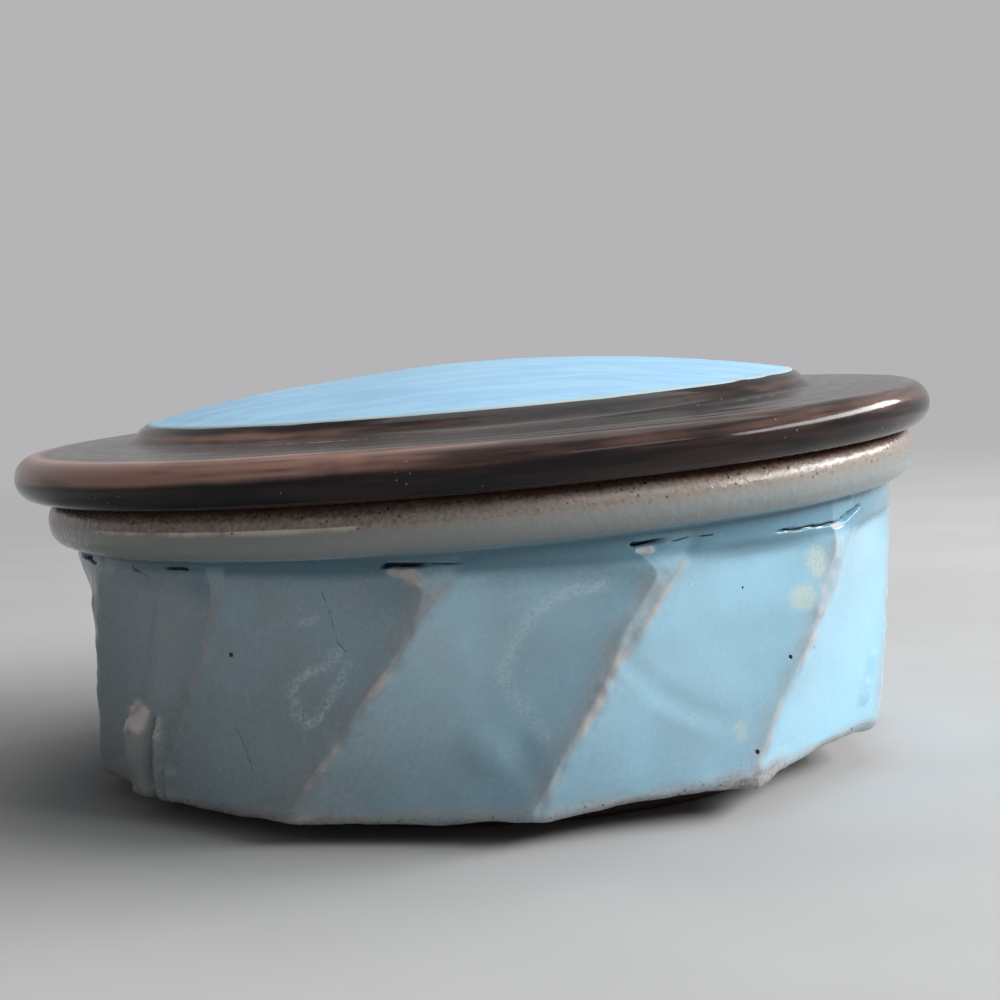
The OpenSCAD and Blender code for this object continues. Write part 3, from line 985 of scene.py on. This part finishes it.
class Paint:
    """Small helpers that add shader nodes to a material or a world, and link them."""

    def __init__(self, owner):
        owner.use_nodes = True
        self.owner = owner
        self.tree = owner.node_tree
        output = next(node for node in self.tree.nodes if node.type.startswith("OUTPUT"))
        self.end = output.inputs["Surface"]
        self.shader = self.end.links[0].from_node

    def link(self, source, socket):
        """Links an output to a socket, or sets the socket to a plain value."""
        if isinstance(source, (int, float, tuple)):
            socket.default_value = source
        else:
            self.tree.links.new(source, socket)

    def surface(self, name, source):
        """Links an output to the shader's own socket, or sets that socket."""
        self.link(source, self.shader.inputs[name])

    def node(self, kind, inputs, **settings):
        """Outputs of a new node, after its settings are made and its inputs are linked or set."""
        node = self.tree.nodes.new("ShaderNode" + kind)
        for name, value in settings.items():
            setattr(node, name, value)
        for socket, source in inputs.items():
            self.link(source, node.inputs[socket])
        return node.outputs

    @cached_property
    def place(self):
        """Place on the object, in metres."""
        return self.node("TexCoord", {})["Object"]

    def mark(self, name):
        """A mark that the mesh carries."""
        return self.node("Attribute", {}, attribute_name=name)["Fac"]

    def noise(self, size_mm, detail=3.0, rough=0.55, place=None, distortion=0.0, output="Fac"):
        """Noise with lumps of about that size."""
        inputs = {
            "Vector": place or self.place,
            "Scale": 1.0 / (size_mm * MM),
            "Detail": detail,
            "Roughness": rough,
            "Distortion": distortion,
        }
        return self.node("TexNoise", inputs)[output]

    def specks(self, size_mm):
        """Distance to the nearest of many scattered points, and a chance value for each."""
        made = self.node("TexVoronoi", {"Vector": self.place, "Scale": 1.0 / (size_mm * MM)})
        return made["Distance"], made["Color"]

    def ramp(self, value, low, high, low_to=0.0, high_to=1.0):
        """A smooth step from one value at low to another at high."""
        inputs = {"Value": value, "From Min": low, "From Max": high, "To Min": low_to, "To Max": high_to}
        return self.node("MapRange", inputs, interpolation_type="SMOOTHSTEP")["Result"]

    def math(self, kind, a, b):
        """One operation on two values."""
        return self.node("Math", {0: a, 1: b}, operation=kind)["Value"]

    def times(self, a, b):
        """The product of two values."""
        return self.math("MULTIPLY", a, b)

    def plus(self, a, b):
        """The sum of two values."""
        return self.math("ADD", a, b)

    def most(self, a, b):
        """The greater of two values."""
        return self.math("MAXIMUM", a, b)

    def swing(self, value, reach):
        """How far a noise is from its middle, times a reach."""
        return self.times(self.math("SUBTRACT", value, 0.5), reach)

    def mix(self, share, a, b):
        """A blend of two colours. Its sockets go by number, because other blends share their names."""
        return self.node("Mix", {"Factor": share, 6: a, 7: b}, data_type="RGBA")[2]

    def cover(self, base, tint, share, low, high, most=1.0):
        """The base under a tint, which comes in as a share goes from low to high."""
        return self.mix(self.ramp(share, low, high, 0.0, most), base, tint)

    def vector(self, kind, a, b=None, output="Vector", second=1):
        """One operation on one place or two."""
        inputs = {0: a} if b is None else {0: a, second: b}
        return self.node("VectorMath", inputs, operation=kind)[output]

    def bump(self, height, depth_mm, normal=None):
        """A surface with relief of a depth, over the relief that it has already."""
        inputs = {"Strength": 1.0, "Distance": depth_mm * MM, "Height": height}
        if normal is not None:
            inputs["Normal"] = normal
        return self.node("Bump", inputs)["Normal"]

    def shown(self):
        """1 where the stage is seen, also in a gloss or through glass, and 0 where it lights the object."""
        ray = self.node("LightPath", {})
        names = ("Is Camera Ray", "Is Glossy Ray", "Is Transmission Ray")
        return reduce(self.most, [ray[name] for name in names])

    def blend(self, share, other):
        """Blends the shader with another, which is all there is where the share is 1."""
        both = self.node("MixShader", {"Fac": share, 1: self.shader.outputs[0], 2: other})
        self.link(both["Shader"], self.end)


CELADON = (0.285, 0.525, 0.670, 1.0)
# Grey celadon of the left side, darker partly as painted shade
CELADON_GREY_SHADED = (0.240, 0.298, 0.326, 1.0)
# Deep pooled celadon, which also stands for painted shade under the collar, beside the ridges and in
# grooves
CELADON_DEEP_AND_SHADE = (0.034, 0.112, 0.158, 1.0)
BREAK_BEIGE = (0.500, 0.455, 0.440, 1.0)
# Tan of thin glaze on lands, lumps and the worn base, and partly painted shade on the left side of each
# ridge
TAN_AND_FLANK_SHADE = (0.310, 0.290, 0.278, 1.0)
# Pale newly broken clay, lightened further as a painted highlight
FRESH_BREAK_AND_GLINT = (0.860, 0.795, 0.755, 1.0)
FROST_WHITE = (0.520, 0.640, 0.680, 1.0)
STRAW_YELLOW = (0.600, 0.650, 0.500, 1.0)
TORN_CLAY = (0.430, 0.372, 0.345, 1.0)
COLLAR_GREY = (0.220, 0.230, 0.217, 1.0)
COLLAR_SAND = (0.300, 0.245, 0.200, 1.0)
# Cream of the collar's outermost edge, partly a painted highlight
COLLAR_CREAM_AND_GLINT = (0.640, 0.600, 0.510, 1.0)
IRON_BROWN = (0.115, 0.062, 0.043, 1.0)
IRON_SPECK = (0.030, 0.018, 0.014, 1.0)
# Bare clay, darkened so that the foot under the jar passes for painted shade
BARE_CLAY_SHADED = (0.082, 0.051, 0.040, 1.0)
BARE_DARK_SHADED = (0.050, 0.031, 0.025, 1.0)
# Painted shade in the cracks and pinholes
RECESS_SHADE_BLACK = (0.008, 0.008, 0.009, 1.0)
# Celadon of the panel, made bluer as a painted reflection of the sky
PANEL_BLUE_AND_SKY = (0.280, 0.515, 0.735, 1.0)
PANEL_PALE = (0.355, 0.595, 0.780, 1.0)
PANEL_CREAM = (0.440, 0.470, 0.380, 1.0)
TENMOKU_BLACK = (0.010, 0.008, 0.009, 1.0)
TENMOKU_BROWN = (0.030, 0.018, 0.015, 1.0)
# Rust of thin iron glaze, also a painted warm reflection on the left of the bead
TENMOKU_RUST_AND_REFLECTION = (0.350, 0.195, 0.152, 1.0)
# Grey-brown of the matt flange glaze, partly a painted reflection of the surroundings
TENMOKU_SATIN_SHEEN = (0.078, 0.063, 0.058, 1.0)
DUST_GREY = (0.420, 0.410, 0.400, 1.0)


def nearest_point(piece, turn, z):
    """The point of the jar's outer wall nearest to an angle and a height above the base, in metres."""
    co = np.zeros(len(piece.data.vertices) * 3)
    piece.data.vertices.foreach_get("co", co)
    co = co.reshape(-1, 3)
    target = polar(BASE_R, turn, FOOT_H + z) * MM
    outer = np.hypot(co[:, 0], co[:, 1]) > (BASE_R - 6.0) * MM
    far = np.where(outer, np.linalg.norm(co - target, axis=1), 1.0)
    return Vector(co[int(np.argmin(far))])


def segment_distance(paint, place, start, end):
    """Distance of a surface point from the line between two points."""
    run = end - start
    from_start = paint.vector("SUBTRACT", place, tuple(start))
    along = paint.vector("DOT_PRODUCT", from_start, tuple(run), "Value")
    share = paint.math("DIVIDE", along, run.length_squared)
    share = paint.math("MINIMUM", paint.most(share, 0.0), 1.0)
    nearest = paint.vector("SCALE", tuple(run), share, second="Scale")
    return paint.vector("DISTANCE", from_start, nearest, "Value")


def pinhole_mark(paint, jar):
    """1 in the pinholes, and 0 away from them."""
    pits = []
    for turn, height, radius in PINHOLES:
        spot = nearest_point(jar, turn, height)
        far = paint.vector("DISTANCE", paint.place, tuple(spot), "Value")
        pits.append(paint.ramp(far, 0.55 * radius * MM, radius * MM, 1.0, 0.0))
    return reduce(paint.most, pits)


def hairline_mark(paint, jar, mottle):
    """How dark the hairlines and slits are, which waver and come and go."""
    centred = paint.vector("SUBTRACT", paint.noise(3.0, 2.0, 0.5, output="Color"), (0.5, 0.5, 0.5))
    shift = paint.vector("MULTIPLY", centred, (HAIRLINE_WAVER * MM,) * 3)
    bent = paint.vector("ADD", paint.place, shift)
    hairs = []
    for half_width, strength, run in HAIRLINES:
        stops = [nearest_point(jar, turn, height) for turn, height in run]
        for start, end in zip(stops, stops[1:]):
            far = segment_distance(paint, bent, start, end)
            hairs.append(paint.ramp(far, 0.12 * half_width * MM, half_width * MM, strength, 0.0))
    return paint.times(reduce(paint.most, hairs), paint.ramp(mottle, 0.38, 0.60, 0.25, 0.90))


def show_clay(paint, base, bare, mottle):
    """The base, with mottled clay where no glaze was put, dark enough to pass for painted shade under the
    jar.
    """
    clay = paint.cover(BARE_CLAY_SHADED, BARE_DARK_SHADED, mottle, 0.3, 0.7)
    return paint.cover(base, clay, bare, 0.3, 0.7)


def celadon_material(jar):
    """Celadon that pools blue-green, deepened by painted shade, and breaks to beige, with an iron-brown rim
    and bare clay below.
    """
    paint = Paint(bpy.data.materials.new("celadon_glaze"))
    cloud = paint.noise(22.0, 3.0)
    mottle = paint.noise(5.0, 4.0, 0.6)
    grain = paint.noise(0.9, 2.0, 0.7)
    chips = paint.noise(1.6, 4.0, 0.65)
    thin, pool, torn = [paint.mark(name) for name in ("thin", "pool", "torn")]
    collar, brown, bare = [paint.mark(name) for name in ("collar", "brown", "bare")]
    ragged = paint.plus(thin, paint.swing(chips, paint.ramp(thin, 0.0, 0.3, 0.0, 0.75)))
    # Greyer and darker to the left, partly painted shade
    fired = paint.plus(paint.mark("blue"), paint.swing(cloud, 0.7))
    base = paint.cover(CELADON_GREY_SHADED, CELADON, fired, 0.05, 0.95)
    # Pooled glaze and painted shade deepen the colour
    base = paint.cover(base, CELADON_DEEP_AND_SHADE, pool, 0.05, 1.0, 0.9)
    # Tan glaze, with painted shade on the left of the ridges
    base = paint.cover(base, TAN_AND_FLANK_SHADE, paint.mark("tan"), 0.05, 1.0, 0.60)
    base = paint.cover(base, BREAK_BEIGE, ragged, 0.30, 1.00, 0.80)
    milky = paint.times(paint.ramp(grain, 0.30, 0.75, 0.0, 0.17), paint.ramp(pool, 0.1, 0.9, 1.0, 0.15))
    base = paint.mix(milky, base, FROST_WHITE)
    frost = paint.times(paint.mark("frost"), paint.ramp(paint.noise(0.7, 4.0, 0.75), 0.36, 0.64))
    base = paint.mix(frost, base, FROST_WHITE)
    straw = paint.times(paint.mark("straw"), paint.ramp(paint.noise(0.5, 2.0), 0.30, 0.70, 0.35, 1.0))
    base = paint.mix(paint.times(straw, 0.70), base, STRAW_YELLOW)
    base = paint.cover(base, CELADON, paint.mark("inside"), 0.0, 1.0, 0.25)
    sandy = paint.cover(COLLAR_GREY, COLLAR_SAND, ragged, 0.10, 1.0)
    base = paint.cover(base, sandy, collar, 0.1, 0.9, 0.92)
    iron = paint.plus(brown, paint.swing(grain, paint.ramp(brown, 0.0, 0.3, 0.2, 1.1)))
    base = paint.cover(base, IRON_BROWN, iron, 0.20, 0.95, 0.95)
    base = paint.cover(base, COLLAR_CREAM_AND_GLINT, paint.mark("cream"), 0.2, 0.9, 0.8)
    near, tint = paint.specks(1.5)
    speck = paint.times(paint.ramp(near, 0.16, 0.26, 1.0, 0.0), paint.ramp(tint, 0.56, 0.60))
    speck = paint.times(speck, paint.ramp(brown, 0.02, 0.5, 0.04, 0.9))
    base = paint.mix(speck, base, IRON_SPECK)
    chipped = paint.ramp(chips, 0.30, 0.60, 0.35, 1.0)
    worn_off = paint.times(paint.ramp(torn, 0.05, 0.95, 0.0, 0.95), chipped)
    base = paint.mix(worn_off, base, TORN_CLAY)
    # Broken top of the tear, with a painted highlight
    base = paint.cover(base, FRESH_BREAK_AND_GLINT, paint.mark("fresh"), 0.05, 0.95, 0.9)
    base = show_clay(paint, base, bare, mottle)
    # Cracks filled with painted shade
    base = paint.cover(base, RECESS_SHADE_BLACK, paint.mark("dark"), 0.25, 0.7)
    hairs = hairline_mark(paint, jar, mottle)
    pits = pinhole_mark(paint, jar)
    base = paint.mix(hairs, base, IRON_SPECK)
    # Pinholes filled with painted shade
    paint.surface("Base Color", paint.mix(pits, base, RECESS_SHADE_BLACK))
    dry = paint.most(paint.ramp(bare, 0.3, 0.7), paint.ramp(torn, 0.3, 0.8, 0.0, 0.8))
    rough = paint.ramp(mottle, 0.3, 0.75, 0.17, 0.30)
    for mark, change in ((frost, 0.20), (collar, -0.07), (brown, 0.12), (dry, 0.45)):
        rough = paint.plus(rough, paint.times(mark, change))
    paint.surface("Roughness", rough)
    peel = paint.bump(paint.noise(3.4, 2.0), 0.05)
    peel = paint.bump(paint.times(paint.noise(1.9, 3.0, 0.6), collar), 0.22, peel)
    grit = paint.most(dry, paint.times(brown, 0.7))
    sand = paint.bump(paint.times(grain, paint.ramp(grit, 0.0, 1.0, 0.05, 1.0)), 0.16, peel)
    paint.surface("Normal", paint.bump(paint.times(paint.most(pits, hairs), -1.0), 0.30, sand))
    return paint.owner


def tenmoku_material():
    """Dark iron gloss that breaks to rust where it is thin, with a pale blue panel on the dome, and painted
    reflections on the flange, the bead's left and the panel.
    """
    paint = Paint(bpy.data.materials.new("iron_glaze"))
    cloud = paint.noise(16.0, 4.0)
    mottle = paint.noise(3.2, 4.0, 0.65)
    grain = paint.noise(0.8, 2.0, 0.7)
    streak, satin_and_sheen = [paint.mark(name) for name in ("streak", "satin_and_sheen")]
    panel, bare = [paint.mark(name) for name in ("panel", "bare")]
    thin = paint.times(paint.mark("thin"), paint.ramp(streak, 0.25, 0.75, 0.60, 1.0))
    thin = paint.times(thin, paint.ramp(cloud, 0.30, 0.60, 0.65, 1.0))
    dark = paint.cover(TENMOKU_BLACK, TENMOKU_BROWN, streak, 0.35, 0.8)
    # The flange's matt glaze, with a painted grey reflection
    dark = paint.cover(dark, TENMOKU_SATIN_SHEEN, satin_and_sheen, 0.1, 1.0, 0.9)
    dark = paint.cover(dark, TENMOKU_RUST_AND_REFLECTION, thin, 0.08, 0.75, 0.95)
    near, tint = paint.specks(1.7)
    rare = paint.times(paint.ramp(tint, 0.60, 0.62), paint.ramp(cloud, 0.46, 0.58, 0.06, 1.0))
    speck = paint.times(paint.ramp(near, 0.07, 0.12, 1.0, 0.0), rare)
    dust = paint.times(paint.mark("dust"), paint.ramp(mottle, 0.48, 0.62))
    dark = paint.mix(paint.times(paint.most(speck, dust), 0.6), dark, DUST_GREY)
    dark = paint.cover(dark, TENMOKU_BLACK, paint.mark("line"), 0.2, 0.9, 0.9)
    stretch = paint.vector("MULTIPLY", paint.place, (0.22, 1.0, 1.0))
    blue = paint.cover(PANEL_BLUE_AND_SKY, PANEL_PALE, paint.noise(5.0, 4.0, 0.6, stretch, 0.6), 0.38, 0.66)
    cream = paint.plus(paint.mark("cream"), paint.swing(mottle, 0.5))
    blue = paint.cover(blue, PANEL_CREAM, cream, 0.45, 1.0, 0.8)
    base = paint.cover(dark, blue, panel, 0.35, 0.65)
    paint.surface("Base Color", show_clay(paint, base, bare, mottle))
    paint.surface("Specular IOR Level", 0.19)
    rough = paint.plus(paint.ramp(mottle, 0.3, 0.75, 0.09, 0.16), paint.times(satin_and_sheen, 0.12))
    rough = paint.plus(rough, paint.ramp(panel, 0.3, 0.7, 0.0, 0.32))
    rough = paint.plus(rough, paint.ramp(bare, 0.3, 0.7, 0.0, 0.55))
    paint.surface("Roughness", paint.plus(rough, paint.times(dust, 0.3)))
    peel = paint.bump(paint.noise(4.0, 2.0, 0.5), 0.035)
    sand = paint.times(grain, paint.ramp(bare, 0.3, 0.7, 0.05, 1.0))
    paint.surface("Normal", paint.bump(sand, 0.06, peel))
    return paint.owner


# Camera, in the jar's frame: place in metres, and its pitch, turn and roll in radians
CAMERA_PLACE = (0.0, -0.42829, 0.09729)
CAMERA_PITCH = -0.0962
CAMERA_YAW = 0.0095
CAMERA_ROLL = -0.0432
CAMERA_LENS = 69.12
CAMERA_SENSOR = 36.0


def make_camera():
    """The camera at the photograph's viewing angle."""
    data = bpy.data.cameras.new("camera")
    data.sensor_width = CAMERA_SENSOR
    data.lens = CAMERA_LENS
    data.clip_start = 0.01
    camera = put("camera", data)
    level = Vector((math.sin(CAMERA_YAW), math.cos(CAMERA_YAW), 0.0))
    ahead = level * math.cos(CAMERA_PITCH) + Vector((0.0, 0.0, math.sin(CAMERA_PITCH)))
    right = Vector((math.cos(CAMERA_YAW), -math.sin(CAMERA_YAW), 0.0))
    up = right.cross(ahead)
    rolled_right = right * math.cos(CAMERA_ROLL) + up * math.sin(CAMERA_ROLL)
    rolled_up = up * math.cos(CAMERA_ROLL) - right * math.sin(CAMERA_ROLL)
    axes = Matrix((rolled_right, rolled_up, -ahead)).transposed()
    camera.matrix_world = Matrix.Translation(CAMERA_PLACE) @ axes.to_4x4()
    bpy.context.scene.camera = camera


# Lamps: place, width and height in metres, power in watts, and whether a glaze mirrors them
LAMPS = {
    "window": ((1.60, -0.28, 1.12), 2.00, 0.56, 43.0, False),
    "sheen": ((1.60, 0.25, 0.78), 2.20, 0.28, 25.5, True),
    "strip": ((0.66, -0.86, 0.66), 0.62, 0.08, 0.8, True),
    "overhead": ((0.15, 0.30, 1.15), 0.90, 0.90, 5.2, True),
    "fill": ((-1.00, -0.75, 0.55), 0.80, 0.80, 0.7, True),
}
LAMP_TARGET = (0.0, 0.0, 0.05)
FLOOR_GREY = (0.43, 0.43, 0.43, 1.0)
FLOOR_PALE = (0.46, 0.46, 0.46, 1.0)
FLOOR_REACH = 20.0
# Where the lit floor ends and the even background begins, in metres from the jar
FADE_START = 0.30
FADE_END = 1.00
# The even sky: its light on the object, and the background that is seen and mirrored
SKY = (0.80, 0.82, 0.85, 1.0)
SKY_LIGHT = 0.13
BACKGROUND = (0.46, 0.46, 0.47, 1.0)


def make_lamp(name, place, width, height, power, mirrored):
    """A soft lamp that faces the jar, and that a glaze mirrors or not."""
    data = bpy.data.lights.new(name, "AREA")
    data.shape = "RECTANGLE"
    data.size = width
    data.size_y = height
    data.energy = power
    lamp = put(name, data)
    lamp.location = place
    lamp.visible_glossy = mirrored
    lamp.rotation_euler = (Vector(LAMP_TARGET) - Vector(place)).to_track_quat("-Z", "Y").to_euler()


def floor_material():
    """Pale paper that keeps the jar's shadow and fades into an even background."""
    paint = Paint(bpy.data.materials.new("floor_paper"))
    paint.surface("Base Color", paint.cover(FLOOR_GREY, FLOOR_PALE, paint.noise(60.0, 2.0), 0.2, 0.8))
    paint.surface("Roughness", 0.85)
    paint.surface("Specular IOR Level", 0.1)
    glow = paint.node("Emission", {"Color": BACKGROUND})["Emission"]
    away = paint.ramp(paint.vector("LENGTH", paint.place, output="Value"), FADE_START, FADE_END)
    paint.blend(paint.times(away, paint.shown()), glow)
    return paint.owner


def make_sky():
    """Even light from all round, with the background where it is seen or mirrored."""
    world = bpy.data.worlds.new("studio")
    paint = Paint(world)
    paint.surface("Color", SKY)
    paint.surface("Strength", SKY_LIGHT)
    paint.blend(paint.shown(), paint.node("Background", {"Color": BACKGROUND})["Background"])
    bpy.context.scene.world = world


def make_stage():
    """A pale floor, an even sky and soft lamps, the strongest to the right as from a window."""
    mesh = bpy.data.meshes.new("floor")
    corners = [(x * FLOOR_REACH, y * FLOOR_REACH, 0.0) for x, y in ((-1, -1), (1, -1), (1, 1), (-1, 1))]
    mesh.from_pydata(corners, [], [(0, 1, 2, 3)])
    floor = put("floor", mesh)
    mesh.materials.append(floor_material())
    make_sky()
    for name, values in LAMPS.items():
        make_lamp(name, *values)


make_camera()
make_stage()

jar = make_jar()
jar.data.materials.append(celadon_material(jar))
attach(jar, "jar")
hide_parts("jar_body")

lid = make_lid()
lid.data.materials.append(tenmoku_material())
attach(lid, "lid")
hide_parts("lid")

bpy.context.scene.view_settings.view_transform = "Standard"
